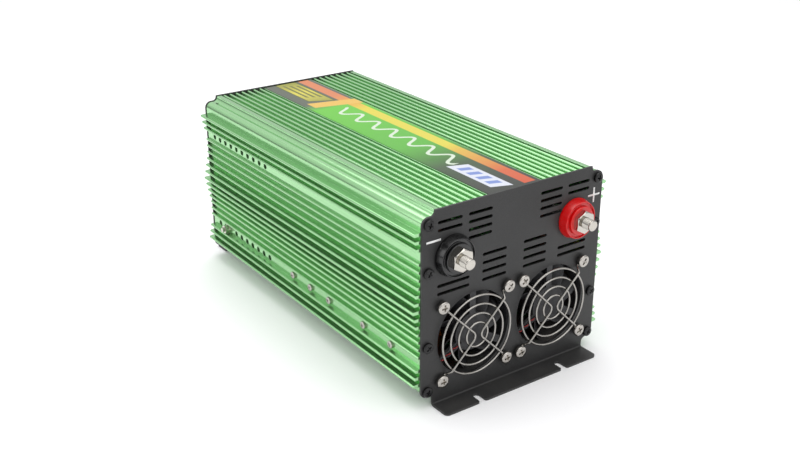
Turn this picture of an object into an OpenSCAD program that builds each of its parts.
// Power inverter: a finned aluminium extrusion closed by two folded end plates.
// The frame's origin is under the middle of the object, on the surface it stands on.
// +Z is up, +X is across, and the battery end with its fans and studs faces -Y.

/* [Overall] */
// Width over the flat bands of the two side walls
case_w = 200; // [194:1:240]
// Length of the extruded case between the end plates
case_len = 389; // [375:1:470]
// Height of the end plates from their lower corners to their top edge
plate_h = 173.2; // [168:0.1:214]
// Height of the end plates' lower corners above the feet's underside
foot_rise = 11; // [9:0.5:16]

/* [Extrusion] */
// Thickness of the side walls and of the roof under the ribs
wall_t = 3; // [2:0.5:4]
// Height of a roof rib above the roof
rib_h = 3.4; // [2:0.1:5]
// Width of a roof rib
rib_w = 3; // [2:0.1:4]
// Distance between neighbouring ribs, and between neighbouring fins
rib_pitch = 7.25; // [6.5:0.05:8]
// Number of ribs on each side of the label strip
rib_n = 7; // [3:1:7]
// Width of the raised strip that carries the label
strip_w = 61; // [50:1:62]
// How far the label strip lies below the tops of the ribs
strip_drop = 0.8; // [0.4:0.1:1.5]
// Thickness of a side fin
fin_t = 3.4; // [2.4:0.1:3.8]
// How far the longest side fin stands out of the flat band
fin_deep = 8.3; // [6:0.1:10]
// How much shorter each fin is than its neighbour nearer the middle
fin_step = 1.42; // [1:0.01:1.5]
// How far the shortest side fin stands out of the flat band
fin_shallow = 2.7; // [2:0.1:4]
// How far the outermost fin of the upper and lower groups stands out
fin_edge = 7.4; // [5:0.1:9]
// Depth of the grooves between the fins, below the flat band
groove_d = 1.5; // [0.5:0.1:2]
// Height of the two flat bands above and below the middle
band_z = 50; // [46:0.5:54]
// Diameter of the air holes in the flat bands
vent_d = 6; // [3:0.5:7]
// Distance between neighbouring air holes
vent_pitch = 12.35; // [11:0.05:14]
// Number of air holes in one flat band
vent_n = 10; // [4:1:12]
// Width of the lips that carry the base plate
lip_w = 14; // [10:1:20]

/* [End plates] */
// Thickness of the folded end plates
plate_t = 2; // [1.5:0.5:3]
// How far the end plates reach past the case all round
plate_over = 0.5; // [0.3:0.1:1]
// Depth of the flanges that the inverter stands on
foot_d = 21; // [16:0.5:30]
// Width of the flanges
foot_w = 176.4; // [150:0.1:178]
// Distance between the two mounting notches of a flange
notch_span = 96; // [80:1:120]
// Width of a mounting notch
notch_w = 6.5; // [5:0.5:9]
// Length of a mounting notch from the flange's edge
notch_len = 12.5; // [9:0.5:16]
// Width of the long ventilation slots
slot_w = 3; // [1.5:0.1:4]

/* [Fans] */
// Outer size of a square fan frame
fan_size = 80; // [60:1:84]
// Depth of a fan frame
fan_depth = 25; // [20:1:32]
// Distance from the edge of a fan frame to the middle of its screw holes
fan_screw_edge = 4.25; // [4:0.05:5]
// Thinnest wall between a fan's bore and the edge of its frame
fan_wall = 1; // [0.8:0.1:3]
// Space between the two fans
fan_space = 8.2; // [2:0.1:16]
// Height of the fans' lower edge above the lower edge of the plate
fan_foot = 8.3; // [4:0.1:14]
// Diameter of the fan hub
hub_d = 36; // [28:1:42]
// Number of fan blades
blade_n = 7; // [5:1:9]
// Diameter of the guard wire
wire_d = 2; // [1.4:0.1:2.6]
// How far the outermost guard ring lies inside the fan's bore
guard_inset = 1.7; // [1.4:0.1:4]
// Radial clearance between the fan spindle and its bore
spindle_gap = 0.05; // [0.02:0.01:0.08]

/* [Battery terminals] */
// Distance between the two battery studs
stud_span = 137; // [120:1:150]
// How far the battery studs lie below the top edge of the plate
stud_drop = 44.6; // [40:0.1:55]
// Diameter of a battery stud
stud_d = 10; // [6:0.5:12]
// How far a battery stud stands out of the plate
stud_out = 24.5; // [22:0.5:30]
// Diameter of the terminal insulators
insulator_d = 38; // [34:0.5:42]
// Thickness of the terminal insulators' rims
insulator_t = 8.5; // [6:0.5:10]
// How much the radius of an insulator's rim shrinks towards its front
insulator_taper = 1.8; // [0:0.1:2]
// Width across the flats of the terminal nuts
nut_af = 19; // [13:0.5:21]
// Thickness of the terminal nuts
nut_t = 5; // [4:0.5:8]

/* [Outlet end] */
// Distance between the two mains outlets
outlet_span = 92; // [80:1:100]
// Height of the outlets above the lower edge of the plate
outlet_rise = 57.6; // [50:0.1:64]
// Side of the square outlet face plate
outlet_face = 54; // [50:1:60]
// Diameter of the plug recess in an outlet
recess_d = 39.6; // [39:0.1:41]
// Depth of the plug recess
recess_depth = 17.5; // [15:0.5:18]
// How far the power switch lies below the top edge of the plate
switch_drop = 41.6; // [30:0.1:50]
// Width of the power rocker
rocker_w = 17; // [12:0.5:22]
// Height of the power rocker
rocker_h = 26; // [20:0.5:30]
// Angle that the rocker leans either way
rocker_tilt = 7; // [4:1:10]

/* [Inside] */
// Thickness of the circuit board
board_t = 2; // [1.6:0.1:3]
// Height of the board's underside above the base plate
board_rise = 7; // [5:0.5:12]
// Thickness of the aluminium heat bars along the side walls
bar_t = 10; // [6:0.5:12]
// Height of the heat bars
bar_h = 20; // [14:1:21]
// Length of the heat bars
bar_len = 212; // [190:1:240]
// Number of power transistors on a heat bar
transistor_n = 10; // [4:1:12]
// Number of transformers
transformer_n = 3; // [2:1:3]

/* [Hidden] */

$fn = 48;
gap = 0.3;
clear_r = 0.2;

// Overall places
over_len = case_len + 2 * plate_t;
front_reach = max(foot_d, stud_out);
y_front = -(over_len + foot_d - front_reach) / 2;
y_rear = y_front + over_len;
y_case = y_front + plate_t;
mid_drop = 3;
mid_z = foot_rise + plate_h / 2 - mid_drop;
plate_x = case_w / 2 + plate_over;
plate_top = foot_rise + plate_h;
band_x = case_w / 2;
groove_x = band_x - groove_d;
inner_x = groove_x - wall_t;

// Ends of the profile: cove, shoulder and lower corner
cove_r = 4;
cove_x = plate_x - 9.2;
shoulder_r = 7;
crown_drop = 1;
corner_r = 6;
cover_corner_r = 9;

// Extrusion
rib_top = plate_top - plate_over;
roof_z = rib_top - rib_h;
ceiling_z = roof_z - wall_t;
first_rib = strip_w / 2 + 4.2;
fin_tip_r = 1.4;
fin_n = 6;
case_bottom = foot_rise + plate_over;
base_t = 2;
lip_top = case_bottom + wall_t;
base_top = lip_top + base_t;
edge_fin_z = band_z + 13.5;
edge_pitch = 7;
edge_step = 1.25;
band_half = 4.8;
vent_first = 18;

// Screws, as head radius, head height, shank radius
plate_screw = [4.8, 3.2, 1.95];
guard_screw = [5.9, 3.8, 1.95];
side_screw = [3.7, 2.6, 1.95];
base_screw = [3.4, 2, 1.4];
board_screw = [2.7, 1.7, 1.35];
strap_screw = [3.6, 2.2, 1.95];
outlet_screw = [2.8, 1.6, 1.45];
plate_screw_len = 12;
guard_screw_len = 14;
plate_screw_x = case_w / 2 - 6;
crown_screw_in = 11.6;
corner_screw_in = 5.6;
inner_screw_z = 34.8;
plate_screw_z = [plate_top - crown_screw_in - mid_z, inner_screw_z, -inner_screw_z,
    foot_rise + corner_screw_in - mid_z];
port_r = 4.4;
side_screw_y = [44.8, 88.2, 147.4, 181.4, 214.6];
base_half = plate_screw_x - port_r - gap;
base_screw_x = (base_half + inner_x - lip_w) / 2;
base_screw_n = 4;
base_screw_end = 30;
base_screw_y = [for (k = [0:base_screw_n - 1])
    base_screw_end + k * (over_len - 2 * base_screw_end) / (base_screw_n - 1)];

// Earth stud, between the second and the third air hole, with the third left out
earth_y = y_rear - vent_first - 1.5 * vent_pitch;
earth_r = 2.5;
earth_out = 8;
earth_head_t = 3;
thumb_nut = [0.8, 1, 3.6];

// Folded plates
bend_in = 1.5;
bend_out = bend_in + plate_t;
flange_r = 4;
tab_fillet = 4.5;
notch_mouth_r = 2;

// Slots of the plates on each side of the middle: middle X, top Z, pitch, length, number
front_slots = [[71.7, plate_top - 12.2, 7.2, 22.5, 2], [39.6, plate_top - 12.2, 7.2, 22.5, 4],
    [22.9, plate_top - 53.3, 7.9, 23.8, 4], [67.2, plate_top - 69.9, 7.4, 31.2, 2]];
rear_slots = [[62, plate_top - 19.6, 8, 36, 5], [46, foot_rise + 17.6, 8, 48, 2]];

// Fans
fan_span = fan_size + fan_space;
fan_screw_span = fan_size - 2 * fan_screw_edge;
fan_bore_r = fan_size / 2 - fan_wall;
fan_z = foot_rise + fan_foot + fan_size / 2;
fan_y = y_front + plate_t;
fan_corners = [for (x = [-0.5, 0.5], z = [-0.5, 0.5]) [x * fan_screw_span, z * fan_screw_span]];
fan_flange_t = 4;
fan_pocket = 3.6;
strut_w = 6.5;
strut_t = 3;
strut_turns = [90, 210, 330];
spindle_r = 2;
rotor_gap = 1;
blade_t = 1.4;
blade_pitch = 38;

// Guards: rings, the bent wires in front of them and the eyelets under the screws
ring_n = 4;
ring_out = 5;
ring_step = 8.6;
cross_out = ring_out + 0.9 * wire_d;
cross_apex = 1;
cross_bend_r = 6;
eyelet_r = guard_screw[2] + wire_d / 2 + clear_r;
eyelet_foot = 4.8;
eyelet_lead = 7.4;

// Fan leads, in a groove of one strut and through a notch of the frame
lead_r = 1.3;
lead_turn = 210;
lead_groove = 1.8;
lead_z = fan_bore_r * sin(lead_turn);
frame_x = -fan_size / 2;
socket = [6, 6, 4.4];
socket_y = 2;

// Battery terminals
stud_z = plate_top - stud_drop;
stud_tip = 0.9;
runout = 0.3;
stud_waist = 0.2;
neck_r = 10;
hub_r = 13.3;
hub_tier = 1.5;
insulator_round = 0.6;
insulator_foot = 2;
moat = [3, 2];
washer_r = 15;
washer_t = 1.5;
bus_y = fan_y + fan_depth + 4;
bus_t = 3;
bus_w = 22;
// Socket places from each fan's axis: the left one clears the negative bar, the right one its frame
socket_x = [fan_span / 2 - (stud_span + bus_w + socket[0]) / 2 - 2 * gap, frame_x + 1];
bus_foot = 20;
bus_over = 12;
bus_hole_x = 6;
bus_hole_in = 8;
stud_inner = bus_y - y_front + bus_t + nut_t + 7;

// Label
label_w = 58;
label_t = 0.4;
label_end = 1.5;

// Inside
board_z = base_top + board_rise;
board_top = board_z + board_t;
board_w = 2 * inner_x - 14;
board_y = bus_y + 14;
board_len = y_rear - 30 - board_y;
board_holes = [for (x = [-70, 70], y = [30, board_len / 2, board_len - 12]) [x, board_y + y]];
standoff_r = 3;
bar_z = mid_z - band_z - bar_h / 2;
bar_y = y_case + 38;
transistor = [5, 15.5, 20];
transistor_rise = 5;
transistor_y = board_y + socket_y + socket[1] + 1;
leg_r = 0.6;
leg_span = 5;
clamp = [1.5, 8];
clamp_rise = 14;
transformer_y = board_y + 74;
transformer_pitch = 52;
core = [56, 24, 52];
core_leg = 16;
core_yoke = 9;
core_window = (core[0] - core_leg) / 2 - core_yoke;
control = [1.6, 78, 44];
control_y = board_y + 208;
chip = [2.2, 12, 14];
chip_rise = 16;
choke = [46, board_y + 236];
choke_r = 19;
choke_wire_r = 11.9;
capacitor_skirt = 3;
input_capacitor = [9, 34];
input_capacitor_x = 50;
input_capacitor_y = board_y + 52;
input_capacitor_n = 5;
input_capacitor_pitch = 26;
output_capacitor = [15, 44];
output_capacitor_x = -46;
output_capacitor_y = board_y + 218;
output_capacitor_pitch = 36;
fuse_holder = [5, 19, 9];
fuse = [3, 15, 7];
fuse_pitch = 12;
fuse_y = board_y + 14;

// Outlet end
outlet_z = foot_rise + outlet_rise;
switch_z = plate_top - switch_drop;
face_t = 3;
outlet_body_r = recess_d / 2 + 2.5;
outlet_body_depth = 30;
outlet_screw_x = outlet_face / 2 - 5;
outlet_screw_len = 10;
socket_hole_x = 9.5;
socket_hole_r = 2.7;
socket_floor = 3;
earth_clip = [5, 11, 1];
clip_in = 0.1;
contact_r = 2.4;
contact_t = 2;
rocker_pin_r = 1.5;
rocker_in = 3;
rocker_t = 12;
rocker_front = 7;
rocker_dish_r = 55;
housing_wall = 2;
housing_deep = 14;
rim_t = 2;
housing_w = rocker_w + 2 * housing_wall;
housing_h = rocker_h + 2 * housing_wall;
light_x = 34;
light_r = 3;
light_rim = 1;
light_back = 8;

// Points of a fan lead: X and Z from the fan's axis, Y from the frame's front face
function on_strut(r, y) = [r * cos(lead_turn), y, r * sin(lead_turn)];
function lead_route(socket_x, lead_x) = [on_strut(hub_d / 2 - 1, 0), on_strut(hub_d / 2 + 9, 0),
    on_strut(fan_bore_r - 3, 0.4),
    [frame_x + 4, 2.2, lead_z], [frame_x - 1, 2.6, lead_z - 0.3], [lead_x - 3.6, 5, lead_z - 2],
    [lead_x - 4.2, 12, lead_z - 5], [lead_x - 4.2, fan_depth - 3, lead_z - 7],
    [lead_x - 2, fan_depth + 5, lead_z - 9],
    [socket_x, fan_depth + 12, board_top + socket[2] / 2 + 1 - fan_z],
    [socket_x, board_y - fan_y - 2, board_top + socket[2] / 2 - fan_z],
    [socket_x, board_y - fan_y + socket_y, board_top + socket[2] / 2 - fan_z]];

// A flat shape drawn in X and Z, given a thickness along +Y
module along_y(y, thickness) {
    translate([0, y + thickness, 0]) rotate([90, 0, 0]) linear_extrude(thickness) children();
}

// A round bar along +Y
module bar_along_y(x, y, z, r, length) {
    translate([x, y, z]) rotate([-90, 0, 0]) cylinder(r = r, h = length);
}

// A round bar along +X
module bar_along_x(x, y, z, r, length) {
    translate([x, y, z]) rotate([0, 90, 0]) cylinder(r = r, h = length);
}

// A straight wire between two points, with round ends a trace thicker than the wire
module wire(a, b, r) {
    d = b - a;
    h = norm(d);
    translate(a) rotate([0, acos(d[2] / h), atan2(d[1], d[0])]) cylinder(r = r, h = h, $fn = 24);
    for (p = [a, b]) translate(p) sphere(r = r + 0.03, $fn = 24);
}

// A quarter bend of wire about the Z axis, from +X to +Y
module bend(radius, r) {
    rotate_extrude(angle = 90, $fn = 48) translate([radius, 0]) circle(r = r, $fn = 16);
}

// A pan-head cross-recess screw: head above z = 0, shank below
module pan_screw(size, length) {
    dome = size[0] * 1.6;
    recess = size[1] * 0.5;
    arm = [size[0] * 1.15, size[0] * 0.24];
    difference() {
        union() {
            intersection() {
                cylinder(r = size[0], h = size[1]);
                translate([0, 0, size[1] - dome]) sphere(r = dome);
            }
            translate([0, 0, -length]) cylinder(r = size[2], h = length + 0.5);
        }
        for (turn = [0, 90])
            rotate(turn) translate([-arm[0] / 2, -arm[1] / 2, size[1] - recess])
                cube([arm[0], arm[1], size[1]]);
    }
}

// Hexagonal nut along +Z with its outer corners turned down
module hex_nut(across, thickness, bore_r) {
    corner = across / sqrt(3);
    difference() {
        intersection() {
            cylinder(r = corner, h = thickness, $fn = 6);
            union() {
                cylinder(r = corner + 1, h = thickness - 1);
                translate([0, 0, thickness - 1])
                    cylinder(r1 = corner + 0.3, r2 = across / 2 - 0.4, h = 1);
            }
        }
        translate([0, 0, -1]) cylinder(r = bore_r, h = thickness + 2);
    }
}

// Slot with round ends, centred, drawn in X and Z
module slot(x, z, length) {
    for (side = [-1, 1]) translate([x + side * length / 2, z]) circle(d = slot_w, $fn = 24);
    translate([x - length / 2, z - slot_w / 2]) square([length, slot_w]);
}

// Outline of the case and plates, drawn inside the plate's edge by `inset`,
// with lower corners of radius `low_r` at the plate's edge
module end_outline(inset, low_r) {
    w = plate_x - inset;
    crown = plate_top - cove_r - crown_drop - shoulder_r;
    corner_z = foot_rise + low_r;
    translate([-w, corner_z]) square([2 * w, crown - corner_z]);
    for (side = [-1, 1]) {
        translate([side * (plate_x - shoulder_r), crown]) circle(r = shoulder_r - inset);
        translate([side * (plate_x - low_r), corner_z]) circle(r = low_r - inset);
    }
    translate([-plate_x + shoulder_r, crown - 1])
        square([2 * (plate_x - shoulder_r), shoulder_r + 1 - inset]);
    translate([-plate_x + low_r, foot_rise + inset]) square([2 * (plate_x - low_r), low_r]);
    difference() {
        translate([-cove_x, plate_top - cove_r - crown_drop - inset])
            square([2 * cove_x, cove_r + crown_drop]);
        for (side = [-1, 1]) {
            translate([side * cove_x, plate_top - crown_drop]) circle(r = cove_r + inset);
            translate([side > 0 ? cove_x - cove_r - inset : -cove_x, plate_top - crown_drop])
                square([cove_r + inset, crown_drop + 1]);
        }
    }
}

// One side fin, drawn on the right at height z above the middle
module fin(z, reach) {
    tip = band_x + reach - fin_tip_r;
    translate([0, mid_z + z]) {
        polygon([[groove_x - 1, -fin_t / 2], [tip, -fin_tip_r],
            [tip, fin_tip_r], [groove_x - 1, fin_t / 2]]);
        translate([tip, 0]) circle(r = fin_tip_r, $fn = 24);
    }
}

// All fins of the right side
module fin_row() {
    for (k = [-fin_n:fin_n]) fin(k * rib_pitch, max(fin_deep - fin_step * abs(k), fin_shallow));
    for (side = [-1, 1], k = [0:2])
        fin(side * (edge_fin_z + (1 - k) * edge_pitch), fin_edge - k * edge_step);
}

// Cross-section of the extruded cover
module cover_profile() {
    difference() {
        union() {
            intersection() {
                end_outline(plate_over, cover_corner_r);
                translate([-band_x, 0]) square([2 * band_x, roof_z]);
            }
            difference() {
                intersection() {
                    end_outline(plate_over, cover_corner_r);
                    translate([-band_x, roof_z - 1]) square([2 * band_x, rib_h + 2]);
                }
                translate([-first_rib - (rib_n - 0.5) * rib_pitch, roof_z])
                    square([2 * first_rib + (2 * rib_n - 1) * rib_pitch, rib_h + 5]);
            }
            translate([-strip_w / 2, roof_z - 1]) square([strip_w, rib_h + 1 - strip_drop]);
            for (side = [-1, 1], k = [0:rib_n - 1])
                translate([side * (first_rib + k * rib_pitch), 0]) {
                    translate([-rib_w / 2, roof_z - 1]) square([rib_w, rib_h - rib_w / 2 + 1]);
                    translate([0, rib_top - rib_w / 2]) circle(d = rib_w, $fn = 24);
                }
            fin_row();
            mirror([1, 0]) fin_row();
        }
        groove_cut();
        mirror([1, 0]) groove_cut();
        difference() {
            translate([-inner_x, lip_top]) square([2 * inner_x, ceiling_z - lip_top]);
            screw_ports(port_r);
        }
        translate([-inner_x + lip_w, 0]) square([2 * (inner_x - lip_w), lip_top + 1]);
        screw_ports(plate_screw[2] + clear_r);
    }
}

// The channels along the inside walls that take the end plates' screws
module screw_ports(r) {
    for (side = [-1, 1], z = plate_screw_z)
        translate([side * plate_screw_x, mid_z + z]) circle(r = r, $fn = 32);
}

// What is taken off the right wall between its fins
module groove_cut() {
    difference() {
        translate([groove_x, mid_z - edge_fin_z - edge_pitch - 1])
            square([groove_d + 20, 2 * (edge_fin_z + edge_pitch + 1)]);
        fin_row();
        for (side = [-1, 1])
            translate([0, mid_z + side * band_z - band_half - 1]) square([band_x, 2 * band_half + 2]);
    }
}

// Places of the air holes along the case
function vent_y(k) = y_rear - vent_first - k * vent_pitch;

// A hole through a side wall, in its upper or lower flat band
module wall_hole(side, y, level, r) {
    bar_along_x(side > 0 ? inner_x - 1 : -band_x - 1, y, mid_z + level * band_z, r,
        band_x - inner_x + 2);
}

module top_cover() color("mediumseagreen") {
    difference() {
        along_y(y_case, case_len) cover_profile();
        for (side = [-1, 1], level = [-1, 1], k = [0:vent_n - 1])
            if (side > 0 || level > 0 || k != 2)
                wall_hole(side, vent_y(k), level, vent_d / 2);
        for (side = [-1, 1], y = side_screw_y)
            wall_hole(side, y_front + y, -1, side_screw[2] + clear_r);
        wall_hole(-1, earth_y, -1, earth_r + clear_r);
        for (side = [-1, 1], y = base_screw_y)
            translate([side * base_screw_x, y_front + y, 0])
                cylinder(r = base_screw[2] + clear_r, h = lip_top + 1);
    }
}

module base_plate() color("darkseagreen") {
    difference() {
        translate([-base_half, y_case + 1, lip_top]) cube([2 * base_half, case_len - 2, base_t]);
        for (side = [-1, 1], y = base_screw_y)
            translate([side * base_screw_x, y_front + y, lip_top - 1])
                cylinder(r = base_screw[2] + spindle_gap, h = base_t + 2);
        for (p = board_holes)
            translate([p[0], p[1], lip_top - 1]) cylinder(r = board_screw[2] + clear_r, h = base_t + 2);
    }
}

module base_screws() color("silver") {
    for (side = [-1, 1], y = base_screw_y)
        translate([side * base_screw_x, y_front + y, case_bottom]) mirror([0, 0, 1])
            pan_screw(base_screw, wall_t + base_t + 2);
}

module top_label() color("darkolivegreen") {
    translate([-label_w / 2, y_case + label_end, rib_top - strip_drop])
        cube([label_w, case_len - 2 * label_end, label_t]);
}

// Notches of a mounting flange, seen from above, open towards -Y
module notches(edge_y) {
    mouth_r = notch_mouth_r;
    for (side = [-1, 1]) translate([side * notch_span / 2, edge_y]) {
        translate([-notch_w / 2, -1]) square([notch_w, notch_len + 1 - notch_w / 2]);
        translate([0, notch_len - notch_w / 2]) circle(d = notch_w);
        difference() {
            translate([-notch_w / 2 - mouth_r, -1]) square([notch_w + 2 * mouth_r, mouth_r + 1]);
            for (m = [-1, 1]) translate([m * (notch_w / 2 + mouth_r), mouth_r]) circle(r = mouth_r);
        }
    }
}

// A folded plate with its outer face at Y = 0 and its flange towards -Y
module folded_plate() {
    difference() {
        union() {
            along_y(0, plate_t) end_outline(0, corner_r);
            translate([-foot_w / 2, 0, bend_out]) cube([foot_w, plate_t, foot_rise + corner_r]);
            along_y(0, plate_t) for (side = [-1, 1]) difference() {
                translate([side * (foot_w + tab_fillet) / 2 - tab_fillet / 2, foot_rise - tab_fillet])
                    square([tab_fillet, tab_fillet + 1]);
                translate([side * (foot_w / 2 + tab_fillet), foot_rise - tab_fillet])
                    circle(r = tab_fillet);
            }
        }
        children();
    }
    intersection() {
        translate([-foot_w / 2, -bend_in, bend_out]) rotate([0, 90, 0]) difference() {
            cylinder(r = bend_out, h = foot_w);
            translate([0, 0, -1]) cylinder(r = bend_in, h = foot_w + 2);
        }
        translate([-foot_w, -bend_in, 0]) cube([2 * foot_w, bend_out, bend_out]);
    }
    linear_extrude(plate_t) difference() {
        union() {
            translate([-foot_w / 2, -foot_d + flange_r]) square([foot_w, foot_d - flange_r - bend_in]);
            translate([-foot_w / 2 + flange_r, -foot_d]) square([foot_w - 2 * flange_r, foot_d - bend_in]);
            for (side = [-1, 1])
                translate([side * (foot_w / 2 - flange_r), -foot_d + flange_r]) circle(r = flange_r);
        }
        notches(-foot_d);
    }
}

// Holes for the eight screws of an end plate
module plate_screw_holes() {
    for (side = [-1, 1], z = plate_screw_z)
        bar_along_y(side * plate_screw_x, -1, mid_z + z, plate_screw[2] + clear_r, plate_t + 2);
}

// Groups of ventilation slots, on both sides of the middle
module slots(groups) {
    for (side = [-1, 1], g = groups, k = [0:g[4] - 1]) slot(side * g[0], g[1] - k * g[2], g[3]);
}

module front_plate() color([0.2, 0.2, 0.21]) {
    translate([0, y_front, 0]) folded_plate() {
        plate_screw_holes();
        along_y(-1, plate_t + 2) slots(front_slots);
        for (side = [-1, 1]) {
            bar_along_y(side * fan_span / 2, -1, fan_z, fan_bore_r + gap, plate_t + 2);
            bar_along_y(side * stud_span / 2, -1, stud_z, neck_r + gap, plate_t + 2);
            for (p = fan_corners)
                bar_along_y(side * fan_span / 2 + p[0], -1, fan_z + p[1],
                    guard_screw[2] + clear_r, plate_t + 2);
        }
    }
}

module rear_plate() color([0.2, 0.2, 0.21]) {
    translate([0, y_rear, 0]) mirror([0, 1, 0]) folded_plate() {
        plate_screw_holes();
        along_y(-1, plate_t + 2) slots(rear_slots);
        for (side = [-1, 1]) {
            bar_along_y(side * outlet_span / 2, -1, outlet_z, outlet_body_r + gap, plate_t + 2);
            for (m = [-1, 1])
                bar_along_y(side * outlet_span / 2 + m * outlet_screw_x, -1,
                    outlet_z + m * outlet_screw_x, outlet_screw[2] + clear_r, plate_t + 2);
            bar_along_y(side * light_x, -1, switch_z, light_r + clear_r, plate_t + 2);
        }
        translate([-housing_w / 2 - clear_r, -1, switch_z - housing_h / 2 - clear_r])
            cube([housing_w + 2 * clear_r, plate_t + 2, housing_h + 2 * clear_r]);
    }
}

module front_plate_screws() color([0.12, 0.12, 0.13]) {
    for (side = [-1, 1], z = plate_screw_z)
        translate([side * plate_screw_x, y_front, mid_z + z]) rotate([90, 20 * z, 0])
            pan_screw(plate_screw, plate_screw_len);
}

module rear_plate_screws() color([0.12, 0.12, 0.13]) {
    for (side = [-1, 1], z = plate_screw_z)
        translate([side * plate_screw_x, y_rear, mid_z + z]) rotate([-90, 20 * z, 0])
            pan_screw(plate_screw, plate_screw_len);
}

// The screws that clamp a heat bar to the right wall
module side_screws() {
    for (y = side_screw_y)
        translate([band_x, y_front + y, mid_z - band_z]) rotate([0, 90, 0]) rotate(17 * y)
            pan_screw(side_screw, band_x - inner_x + bar_t * 0.7);
}

module side_screws_right() color("silver") side_screws();

module side_screws_left() color("silver") mirror([1, 0, 0]) side_screws();

module earth_stud() color("silver") {
    head_z = inner_x - band_x;
    full = thumb_nut[0] + thumb_nut[1] + thumb_nut[2] + spindle_gap + runout;
    translate([-band_x, earth_y, mid_z - band_z]) rotate([0, -90, 0]) {
        translate([0, 0, full]) cylinder(r = earth_r, h = earth_out - full);
        translate([0, 0, head_z]) cylinder(r = earth_r - stud_waist, h = full - head_z + runout);
        translate([0, 0, head_z - earth_head_t]) cylinder(r = 2 * earth_r, h = earth_head_t, $fn = 6);
    }
}

// A round nut with a flange, a neck and a grip
module earth_thumb_nut() color("silver") {
    flange_t = thumb_nut[0];
    neck_t = thumb_nut[1];
    grip_t = thumb_nut[2];
    translate([-band_x, earth_y, mid_z - band_z]) rotate([0, -90, 0]) difference() {
        union() {
            cylinder(r = earth_r + 2.1, h = flange_t);
            translate([0, 0, flange_t]) cylinder(r = earth_r + 1.1, h = neck_t);
            translate([0, 0, flange_t + neck_t]) cylinder(r = earth_r + 1.9, h = grip_t);
        }
        translate([0, 0, -1]) cylinder(r = earth_r + spindle_gap, h = 2 * earth_out);
    }
}

// A fan frame with its axis through X = 0, Z = 0 and its front face at Y = 0
module fan_frame() {
    pocket = fan_pocket + fan_screw_edge + 1;
    difference() {
        union() {
            difference() {
                translate([frame_x, 0, frame_x]) cube([fan_size, fan_depth, fan_size]);
                bar_along_y(0, -1, 0, fan_bore_r, fan_depth + 2);
            }
            bar_along_y(0, 0, 0, hub_d / 2, strut_t);
            for (turn = strut_turns) rotate([0, -turn, 0])
                translate([0, 0, -strut_w / 2]) cube([fan_bore_r + 0.5, strut_t, strut_w]);
        }
        for (p = fan_corners) bar_along_y(p[0], -1, p[1], guard_screw[2] + clear_r, fan_depth + 2);
        for (sx = [-1, 1], sz = [-1, 1])
            translate([sx * (fan_screw_span / 2 - fan_pocket + pocket / 2), fan_depth / 2,
                sz * (fan_screw_span / 2 - fan_pocket + pocket / 2)])
                cube([pocket, fan_depth - 2 * fan_flange_t, pocket], center = true);
        rotate([0, -lead_turn, 0]) translate([hub_d / 2 - 4, -1, -lead_r - gap])
            cube([fan_bore_r, lead_groove + 1, 2 * (lead_r + gap)]);
        translate([frame_x - 1, -1, lead_z - lead_r - 2 * gap])
            cube([fan_size / 4, lead_groove + 2.8 * lead_r, 2 * lead_r + 4 * gap]);
    }
    bar_along_y(0, strut_t - 0.5, 0, spindle_r, fan_depth - strut_t - fan_flange_t + 1);
}

// A fan rotor with the same axis and front face as its frame
module fan_rotor() {
    r = fan_bore_r - rotor_gap;
    start = strut_t + 1;
    depth = fan_depth - start - 1.5;
    hub_r = hub_d / 2 - 0.5;
    difference() {
        union() {
            bar_along_y(0, start, 0, hub_r, depth);
            intersection() {
                difference() {
                    bar_along_y(0, start, 0, r, depth);
                    bar_along_y(0, start - 1, 0, hub_r - 1, depth + 2);
                }
                for (k = [0:blade_n - 1]) rotate([0, k * 360 / blade_n, 0])
                    translate([0, start + depth / 2, 0]) rotate([blade_pitch, 0, 0])
                        translate([hub_r / 2, -depth, -blade_t / 2]) cube([r, 2 * depth, blade_t]);
            }
        }
        bar_along_y(0, start - 1, 0, spindle_r + spindle_gap, fan_depth - start - 2);
    }
}

module fan_frame_left() color([0.13, 0.13, 0.14])
    translate([-fan_span / 2, fan_y, fan_z]) fan_frame();

module fan_frame_right() color([0.13, 0.13, 0.14])
    translate([fan_span / 2, fan_y, fan_z]) fan_frame();

module fan_rotor_left() color([0.08, 0.08, 0.09])
    translate([-fan_span / 2, fan_y, fan_z]) fan_rotor();

module fan_rotor_right() color([0.08, 0.08, 0.09])
    translate([fan_span / 2, fan_y, fan_z]) fan_rotor();

// A wire guard: rings behind two bent wires that end in eyelets.
// Y = 0 is the plate's face and the guard stands towards -Y.
module fan_guard() {
    r = wire_d / 2;
    half = fan_screw_span / 2;
    reach = half - eyelet_lead;
    turn_z = cross_bend_r * sqrt(0.5);
    turn_x = cross_apex + cross_bend_r * sqrt(2) - turn_z;
    foot = half - eyelet_foot;
    eye_in = half - eyelet_r * 0.75;
    for (k = [0:ring_n - 1]) translate([0, -ring_out, 0]) rotate([90, 0, 0])
        rotate_extrude($fn = 72) translate([fan_bore_r - guard_inset - k * ring_step, 0])
            circle(r = r, $fn = 16);
    for (turn = [0, 180]) rotate([0, turn, 0]) {
        translate([cross_apex + cross_bend_r * sqrt(2), -cross_out, 0]) rotate([90, 0, 0])
            rotate(135) bend(cross_bend_r, r);
        for (up = [-1, 1]) {
            wire([turn_x, -cross_out, up * turn_z], [reach, -cross_out, up * (reach - cross_apex)], r);
            wire([reach, -cross_out, up * (reach - cross_apex)], [foot, -r, up * foot], r);
            wire([foot, -r, up * foot], [eye_in, -r, up * eye_in], r);
            translate([half, -r, up * half]) rotate([90, 0, 0])
                rotate_extrude($fn = 32) translate([eyelet_r, 0]) circle(r = r, $fn = 16);
        }
    }
}

module fan_guard_left() color("silver") translate([-fan_span / 2, y_front - 0.05, fan_z]) fan_guard();

module fan_guard_right() color("silver") translate([fan_span / 2, y_front - 0.05, fan_z]) fan_guard();

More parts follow.
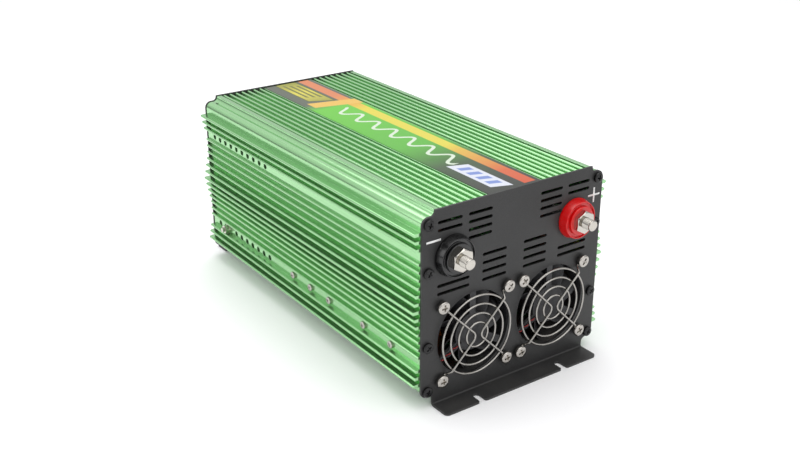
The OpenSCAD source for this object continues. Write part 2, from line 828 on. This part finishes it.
module guard_screws() color("gainsboro") {
    for (side = [-1, 1], p = fan_corners)
        translate([side * fan_span / 2 + p[0], y_front - wire_d - 0.1, fan_z + p[1]])
            rotate([90, 13 * p[0] + 7 * p[1], 0]) pan_screw(guard_screw, guard_screw_len);
}

// A terminal insulator around the Y axis, with its back on the plate at Y = 0
module insulator() {
    r = insulator_d / 2;
    front_r = r - insulator_taper;
    bore_r = stud_d / 2 + clear_r;
    hub_t = insulator_t + hub_tier;
    rotate([90, 0, 0]) rotate_extrude($fn = 96) difference() {
        union() {
            polygon([[0, 0], [r, 0], [r, insulator_foot], [front_r, insulator_t - insulator_round],
                [0, insulator_t - insulator_round]]);
            square([front_r - insulator_round, insulator_t]);
            translate([front_r - insulator_round, insulator_t - insulator_round])
                circle(r = insulator_round, $fn = 24);
            square([hub_r, hub_t]);
            translate([0, clear_r - plate_t]) square([neck_r, plate_t]);
        }
        translate([hub_r, insulator_t - moat[1]]) square([moat[0], moat[1] + 1]);
        translate([0, -plate_t - 1]) square([bore_r, hub_t + plate_t + 2]);
    }
}

module negative_insulator() color([0.08, 0.08, 0.09])
    translate([-stud_span / 2, y_front, stud_z]) insulator();

module positive_insulator() color([0.75, 0.05, 0.06])
    translate([stud_span / 2, y_front, stud_z]) insulator();

// A battery stud with turned-down ends
module battery_stud() {
    tip = stud_tip;
    r = stud_d / 2;
    shank_r = r - stud_waist;
    full = insulator_t + hub_tier + nut_t + spindle_gap + runout;
    rotate([90, 0, 0]) {
        translate([0, 0, full]) cylinder(r = r, h = stud_out - tip - full);
        translate([0, 0, tip - stud_inner]) cylinder(r = shank_r, h = stud_inner + full);
        translate([0, 0, stud_out - tip]) cylinder(r1 = r, r2 = r - tip, h = tip);
        translate([0, 0, -stud_inner]) cylinder(r1 = shank_r - tip, r2 = shank_r, h = tip);
    }
}

module negative_stud() color("silver") translate([-stud_span / 2, y_front, stud_z]) battery_stud();

module positive_stud() color("silver") translate([stud_span / 2, y_front, stud_z]) battery_stud();

// Puts its children on both stud axes, with +Z turned to -Y, at distance y in front of the plate
module on_studs(y) {
    for (side = [-1, 1])
        translate([side * stud_span / 2, y_front - y, stud_z]) rotate([90, 30, 0]) children();
}

module terminal_nuts() color("silver") on_studs(insulator_t + hub_tier)
    hex_nut(nut_af, nut_t, stud_d / 2 + spindle_gap);

module terminal_inner_washers() color([0.12, 0.12, 0.13]) on_studs(-plate_t - washer_t)
    difference() {
        cylinder(r = washer_r, h = washer_t);
        translate([0, 0, -1]) cylinder(r = stud_d / 2 + clear_r, h = washer_t + 2);
    }

module terminal_inner_nuts() color("silver") {
    for (y = [-plate_t - washer_t - nut_t, y_front - bus_y, y_front - bus_y - bus_t - nut_t])
        on_studs(y) hex_nut(nut_af, nut_t, stud_d / 2 + spindle_gap);
}

// A copper strap that comes down from a stud and turns onto the board
module bus_bar() {
    difference() {
        union() {
            translate([-bus_w / 2, bus_y, board_top]) cube([bus_w, bus_t, stud_z + bus_over - board_top]);
            translate([-bus_w / 2, bus_y, board_top]) cube([bus_w, board_y - bus_y + bus_foot, bus_t]);
        }
        bar_along_y(0, bus_y - 1, stud_z, stud_d / 2 + clear_r, bus_t + 2);
        bus_screw_holes(board_top);
    }
}

// The two screw holes in the foot of a strap, down through a layer at height z
module bus_screw_holes(z) {
    for (side = [-1, 1]) translate([side * bus_hole_x, board_y + bus_foot - bus_hole_in, z - 1])
        cylinder(r = strap_screw[2] + clear_r, h = bus_t + 2);
}

module negative_bus_bar() color([0.72, 0.45, 0.2]) translate([-stud_span / 2, 0, 0]) bus_bar();

module positive_bus_bar() color([0.72, 0.45, 0.2]) translate([stud_span / 2, 0, 0]) bus_bar();

module bus_bar_screws() color("silver") {
    for (bar = [-1, 1], side = [-1, 1])
        translate([bar * stud_span / 2 + side * bus_hole_x, board_y + bus_foot - bus_hole_in,
            board_top + bus_t]) pan_screw(strap_screw, bus_t + board_t + 1);
}

module main_board() color("darkgreen") {
    difference() {
        translate([-board_w / 2, board_y, board_z]) cube([board_w, board_len, board_t]);
        for (p = board_holes)
            translate([p[0], p[1], board_z - 1]) cylinder(r = board_screw[2] + clear_r, h = board_t + 2);
        for (bar = [-1, 1]) translate([bar * stud_span / 2, 0, 0]) bus_screw_holes(board_z);
    }
}

module board_standoffs() color("silver") {
    for (p = board_holes) translate([p[0], p[1], base_top]) difference() {
        cylinder(r = standoff_r, h = board_rise);
        translate([0, 0, -1]) cylinder(r = board_screw[2] + spindle_gap, h = board_rise + 2);
    }
}

module board_screws() color("silver") {
    bite = 0.4 * board_rise;
    for (p = board_holes) {
        translate([p[0], p[1], board_top]) pan_screw(board_screw, board_t + bite);
        translate([p[0], p[1], lip_top]) mirror([0, 0, 1]) pan_screw(board_screw, base_t + bite);
    }
}

// An upright board with a row of chips on one side
module control_board() color("darkgreen") translate([0, control_y, board_top]) {
    translate([-control[0] / 2, 0, 0]) cube(control);
    for (k = [0:2]) translate([control[0] / 2, 10 + 20 * k, chip_rise]) cube(chip);
}

// Heat bar against the right wall
module heat_bar() {
    difference() {
        translate([inner_x - bar_t, bar_y, bar_z]) cube([bar_t, bar_len, bar_h]);
        for (y = side_screw_y)
            bar_along_x(inner_x - bar_t - 1, y_front + y, mid_z - band_z,
                side_screw[2] + spindle_gap, bar_t + 2);
    }
}

module heat_bar_right() color("lightgray") heat_bar();

module heat_bar_left() color("lightgray") mirror([1, 0, 0]) heat_bar();

// The row of power transistors on the right heat bar
module power_transistors() {
    pitch = (bar_y + bar_len - transistor_y) / transistor_n;
    x = inner_x - bar_t - transistor[0];
    for (k = [0:transistor_n - 1]) translate([x, transistor_y + (k + 0.5) * pitch, board_top]) {
        translate([0, -transistor[1] / 2, transistor_rise]) cube(transistor);
        for (leg = [-1:1]) translate([transistor[0] / 2, leg * leg_span, 0])
            cylinder(r = leg_r, h = transistor_rise + 0.5, $fn = 16);
    }
}

module power_transistors_right() color([0.1, 0.1, 0.1]) power_transistors();

module power_transistors_left() color([0.1, 0.1, 0.1]) mirror([1, 0, 0]) power_transistors();

// The strip that presses the transistors onto the right heat bar
module transistor_clamp() {
    translate([inner_x - bar_t - transistor[0] - clamp[0], transistor_y, board_top + clamp_rise])
        cube([clamp[0], bar_y + bar_len - transistor_y, clamp[1]]);
}

module transistor_clamp_right() color("lightgray") transistor_clamp();

module transistor_clamp_left() color("lightgray") mirror([1, 0, 0]) transistor_clamp();

// Puts its children at each transformer's place on the board
module at_transformers() {
    for (k = [0:transformer_n - 1])
        translate([0, transformer_y + k * transformer_pitch, board_top]) children();
}

module transformer_cores() color([0.2, 0.2, 0.2]) at_transformers() difference() {
    translate([-core[0] / 2, -core[1] / 2, 0]) cube(core);
    for (side = [-1, 1])
        translate([side * (core_leg + core_window) / 2 - core_window / 2, -core[1], core_yoke])
            cube([core_window, 2 * core[1], core[2] - 2 * core_yoke]);
}

module transformer_windings() color([0.85, 0.75, 0.2]) at_transformers() {
    build = 2 * core_window - 1;
    translate([0, 0, core_yoke + gap]) linear_extrude(core[2] - 2 * (core_yoke + gap)) difference() {
        square([core_leg + build, core[1] + build], center = true);
        square([core_leg + 2 * gap, core[1] + 2 * gap], center = true);
    }
}

module output_choke() color([0.75, 0.4, 0.15]) translate([choke[0], choke[1], board_top + choke_wire_r])
    rotate_extrude($fn = 64) translate([choke_r, 0]) circle(r = choke_wire_r);

// An upright capacitor can with a wider skirt at its foot
module capacitor(size) {
    cylinder(r = size[0], h = size[1]);
    cylinder(r = size[0] + 0.5, h = capacitor_skirt);
}

module input_capacitors() color([0.12, 0.14, 0.3]) {
    for (side = [-1, 1], k = [0:input_capacitor_n - 1])
        translate([side * input_capacitor_x, input_capacitor_y + k * input_capacitor_pitch, board_top])
            capacitor(input_capacitor);
}

module output_capacitors() color([0.12, 0.14, 0.3]) {
    for (k = [0, 1])
        translate([output_capacitor_x, output_capacitor_y + k * output_capacitor_pitch, board_top])
            capacitor(output_capacitor);
}

module input_fuses() color("darkorange") {
    for (k = [-3:3]) translate([k * fuse_pitch, fuse_y, board_top]) {
        translate([-fuse_holder[0] / 2, 0, 0]) cube(fuse_holder);
        translate([-fuse[0] / 2, (fuse_holder[1] - fuse[1]) / 2, fuse_holder[2] - 1]) cube(fuse);
    }
}

// A tube of round section along a list of points
function unit(v) = v / norm(v);
function along(p, i) = unit(p[min(i + 1, len(p) - 1)] - p[max(i - 1, 0)]);
function ring(p, i, r, sides) = let(t = along(p, i), u = unit(cross(t, [0.1, 0.2, 1])), v = cross(t, u))
    [for (s = [0:sides - 1]) p[i] + r * (cos(360 * s / sides) * u + sin(360 * s / sides) * v)];

module tube(p, r, sides = 8) {
    last = len(p) - 1;
    polyhedron(
        points = [for (i = [0:last]) each ring(p, i, r, sides)],
        faces = concat([[for (s = [0:sides - 1]) s]],
            [[for (s = [sides - 1:-1:0]) last * sides + s]],
            [for (i = [0:last - 1], s = [0:sides - 1])
                [i * sides + s, (i + 1) * sides + s,
                (i + 1) * sides + (s + 1) % sides, i * sides + (s + 1) % sides]]));
}

// The leads of the fan on one side, 0 for left and 1 for right
module fan_lead(side) {
    x = socket_x[side];
    translate([(side - 0.5) * fan_span, fan_y, fan_z]) tube(lead_route(x, min(frame_x, x - 1)), lead_r);
}

module fan_lead_left() color("red") fan_lead(0);

module fan_lead_right() color("red") fan_lead(1);

module fan_sockets() color("ivory") {
    for (side = [0, 1])
        translate([(side - 0.5) * fan_span + socket_x[side] - socket[0] / 2, board_y + socket_y, board_top])
            cube(socket);
}

// The two earth clips of an outlet, let into the wall of its recess, each with room round it
module earth_clips(room) {
    for (m = [-1, 1]) translate([-earth_clip[0] / 2 - room, face_t - recess_depth,
        m * (recess_d / 2 - clip_in + earth_clip[2] / 2) - earth_clip[2] / 2])
            cube([earth_clip[0] + 2 * room, earth_clip[1] + room, earth_clip[2]]);
}

// A mains outlet around the Y axis with its back on the plate at Y = 0 and its face towards +Y
module outlet() {
    back = face_t - outlet_body_depth;
    difference() {
        union() {
            translate([-outlet_face / 2, 0, -outlet_face / 2]) cube([outlet_face, face_t, outlet_face]);
            bar_along_y(0, back, 0, outlet_body_r, outlet_body_depth);
        }
        bar_along_y(0, face_t - recess_depth, 0, recess_d / 2, recess_depth + 1);
        earth_clips(clear_r);
        for (side = [-1, 1]) {
            bar_along_y(side * socket_hole_x, back + socket_floor, 0, socket_hole_r, outlet_body_depth);
            bar_along_y(side * outlet_screw_x, -1, side * outlet_screw_x,
                outlet_screw[2] + clear_r, face_t + 2);
        }
    }
}

module outlet_left() color([0.1, 0.1, 0.11]) translate([-outlet_span / 2, y_rear, outlet_z]) outlet();

module outlet_right() color([0.1, 0.1, 0.11]) translate([outlet_span / 2, y_rear, outlet_z]) outlet();

// Sleeves in the pin holes, and the earth clips of each recess
module outlet_contacts() color("silver") {
    sleeve_y = face_t - outlet_body_depth + socket_floor;
    for (side = [-1, 1]) translate([side * outlet_span / 2, y_rear, outlet_z]) {
        earth_clips(0);
        for (m = [-1, 1]) bar_along_y(m * socket_hole_x, sleeve_y, 0, contact_r, contact_t);
    }
}

module outlet_screws() color("silver") {
    for (side = [-1, 1], m = [-1, 1])
        translate([side * outlet_span / 2 + m * outlet_screw_x, y_rear + face_t,
            outlet_z + m * outlet_screw_x]) rotate([-90, 30 * m, 0])
                pan_screw(outlet_screw, outlet_screw_len);
}

module switch_housing() color([0.08, 0.08, 0.09]) translate([0, y_rear, switch_z]) difference() {
    union() {
        translate([-housing_w / 2, -housing_deep, -housing_h / 2])
            cube([housing_w, housing_deep + 1, housing_h]);
        translate([-housing_w / 2 - rim_t, 0, -housing_h / 2 - rim_t])
            cube([housing_w + 2 * rim_t, rim_t, housing_h + 2 * rim_t]);
    }
    translate([-rocker_w / 2 - 1.5 * gap, housing_wall - housing_deep, -rocker_h / 2 - 1])
        cube([rocker_w + 3 * gap, housing_deep + 2, rocker_h + 2]);
    bar_along_x(-housing_w, -rocker_in, 0, rocker_pin_r + spindle_gap, 2 * housing_w);
}

// The rocker, leaning with its lower half out
module power_rocker() color([0.7, 0.05, 0.05]) {
    translate([0, y_rear - rocker_in, switch_z]) rotate([-rocker_tilt, 0, 0]) {
        difference() {
            translate([-rocker_w / 2, rocker_front - rocker_t, -rocker_h / 2])
                cube([rocker_w, rocker_t, rocker_h]);
            bar_along_x(-rocker_w, rocker_front + rocker_dish_r, 0, rocker_dish_r + 0.8, 2 * rocker_w);
        }
        bar_along_x(gap - housing_w / 2, 0, 0, rocker_pin_r, housing_w - 2 * gap);
    }
}

// An indicator lamp: shank through the plate, rim and domed lens
module indicator() {
    bar_along_y(0, -light_back, 0, light_r, light_back + 0.5);
    bar_along_y(0, 0, 0, light_r + light_rim, light_rim);
    intersection() {
        translate([0, light_rim, 0]) sphere(r = light_r);
        bar_along_y(0, light_rim / 2, 0, light_r, 2 * light_r);
    }
}

module power_light() color("limegreen") translate([-light_x, y_rear, switch_z]) indicator();

module fault_light() color("red") translate([light_x, y_rear, switch_z]) indicator();

top_cover();
base_plate();
top_label();
front_plate();
rear_plate();
front_plate_screws();
rear_plate_screws();
base_screws();
side_screws_left();
side_screws_right();
earth_stud();
earth_thumb_nut();
fan_frame_left();
fan_frame_right();
fan_rotor_left();
fan_rotor_right();
fan_guard_left();
fan_guard_right();
guard_screws();
fan_lead_left();
fan_lead_right();
fan_sockets();
negative_insulator();
positive_insulator();
negative_stud();
positive_stud();
terminal_nuts();
terminal_inner_washers();
terminal_inner_nuts();
negative_bus_bar();
positive_bus_bar();
bus_bar_screws();
main_board();
board_standoffs();
board_screws();
control_board();
heat_bar_left();
heat_bar_right();
power_transistors_left();
power_transistors_right();
transistor_clamp_left();
transistor_clamp_right();
transformer_cores();
transformer_windings();
output_choke();
input_capacitors();
output_capacitors();
input_fuses();
outlet_left();
outlet_right();
outlet_contacts();
outlet_screws();
switch_housing();
power_rocker();
power_light();
fault_light();
